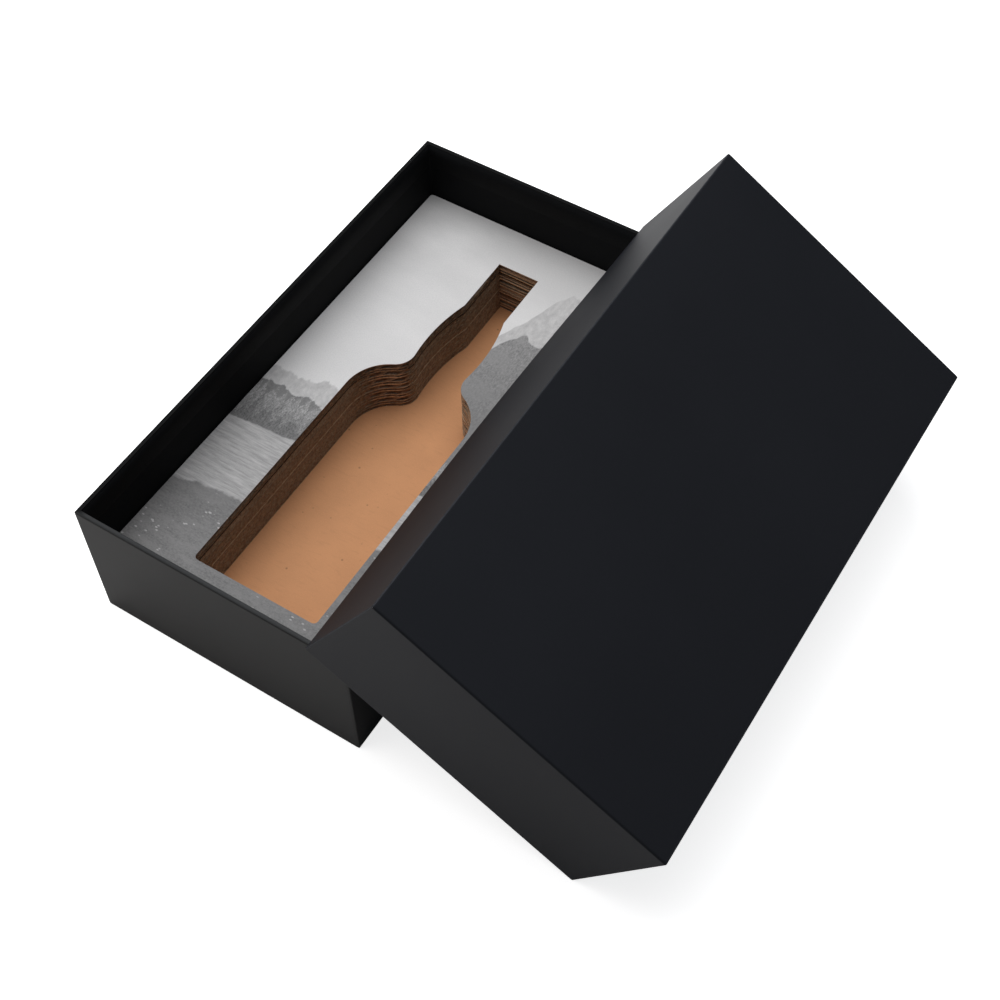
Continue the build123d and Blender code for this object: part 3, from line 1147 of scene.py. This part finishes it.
def make_world(settings):
    """A dim room, which shows as white behind the floor's far edge."""
    world = bpy.data.worlds.new("studio_room")
    world.use_nodes = True
    nodes = world.node_tree.nodes
    links = world.node_tree.links
    room = nodes["Background"]
    room.inputs["Color"].default_value = (0.76, 0.87, 1.0, 1.0)
    room.inputs["Strength"].default_value = settings.world_level
    white = nodes.new("ShaderNodeBackground")
    white.inputs["Color"].default_value = (1, 1, 1, 1)
    path = nodes.new("ShaderNodeLightPath")
    mixer = nodes.new("ShaderNodeMixShader")
    links.new(path.outputs["Is Camera Ray"], mixer.inputs[0])
    links.new(room.outputs[0], mixer.inputs[1])
    links.new(white.outputs[0], mixer.inputs[2])
    links.new(mixer.outputs[0], nodes["World Output"].inputs["Surface"])
    bpy.context.scene.world = world


def add_lamp(name, direction, distance, size, level, colour):
    """A square soft lamp, aimed at the box; level 1 lights a surface that faces it plainly."""
    data = bpy.data.lights.new(name, "AREA")
    data.shape = "SQUARE"
    data.size = size
    data.energy = level * (math.pi * distance) ** 2
    data.color = colour
    lamp = bpy.data.objects.new(name, data)
    bpy.context.scene.collection.objects.link(lamp)
    middle = (cad_low + cad_high) / 2
    towards = Vector(direction).normalized()
    lamp.location = middle + towards * distance
    lamp.rotation_euler = towards.to_track_quat("Z", "Y").to_euler()


def make_lamps(settings):
    """One large soft lamp overhead and a weak one low in front, on the left."""
    add_lamp("key", direction=(-0.30, 0.20, 1.0), distance=1.3, size=1.5,
             level=settings.key_level, colour=(0.90, 0.95, 1.0))
    add_lamp("fill", direction=(-0.75, -0.60, 0.30), distance=0.95, size=0.7,
             level=settings.fill_level, colour=(1.0, 0.98, 0.95))


def make_camera(context, settings):
    """The camera of the photograph."""
    azimuth = settings.azimuth
    elevation = settings.elevation
    right = Vector((math.cos(azimuth), math.sin(azimuth), 0))
    back = Vector((
        math.sin(azimuth) * math.cos(elevation),
        -math.cos(azimuth) * math.cos(elevation),
        math.sin(elevation),
    ))
    up = back.cross(right)
    turned_right = right * math.cos(settings.roll) + up * math.sin(settings.roll)
    turned_up = up * math.cos(settings.roll) - right * math.sin(settings.roll)
    data = bpy.data.cameras.new("photo_camera")
    data.lens = settings.lens
    camera = bpy.data.objects.new("photo_camera", data)
    context.scene.collection.objects.link(camera)
    axes = Matrix((turned_right, turned_up, back)).transposed()
    place = Vector(settings.aim) + back * settings.distance
    camera.matrix_world = Matrix.Translation(place) @ axes.to_4x4()
    context.scene.camera = camera


class GIFTBOX_PT_sidebar(bpy.types.Panel):
    """The box's operators and settings in the sidebar"""

    bl_idname = "GIFTBOX_PT_sidebar"
    bl_label = "Gift Box"
    bl_space_type = "VIEW_3D"
    bl_region_type = "UI"
    bl_category = "Gift Box"

    def draw(self, context):
        for operator in OPERATORS:
            self.layout.operator(operator.bl_idname)
        for name in SETTINGS:
            group = getattr(context.scene, name)
            column = self.layout.box().column()
            for setting in group.bl_rna.properties:
                if setting.identifier not in {"rna_type", "name"}:
                    column.prop(group, setting.identifier)


OPERATORS = (
    GIFTBOX_OT_wraps,
    GIFTBOX_OT_linings,
    GIFTBOX_OT_boards,
    GIFTBOX_OT_layers,
    GIFTBOX_OT_floor_board,
    GIFTBOX_OT_print,
    GIFTBOX_OT_stage,
)
SETTINGS = {
    "giftbox_paper": PaperSettings,
    "giftbox_insert": InsertSettings,
    "giftbox_print": PrintSettings,
    "giftbox_studio": StudioSettings,
}


def register():
    """Registers the settings, the operators and the panel."""
    for name, group in SETTINGS.items():
        bpy.utils.register_class(group)
        setattr(bpy.types.Scene, name, bpy.props.PointerProperty(type=group))
    for made in (*OPERATORS, GIFTBOX_PT_sidebar):
        bpy.utils.register_class(made)


def unregister():
    """Takes everything out again."""
    for made in (GIFTBOX_PT_sidebar, *reversed(OPERATORS)):
        bpy.utils.unregister_class(made)
    for name, group in SETTINGS.items():
        delattr(bpy.types.Scene, name)
        bpy.utils.unregister_class(group)


def main():
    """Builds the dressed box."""
    register()
    bpy.ops.giftbox.wraps()
    bpy.ops.giftbox.linings()
    bpy.ops.giftbox.boards()
    bpy.ops.giftbox.layers()
    bpy.ops.giftbox.floor_board()
    bpy.ops.giftbox.print()
    bpy.ops.giftbox.stage()


if __name__ == "__main__":
    main()
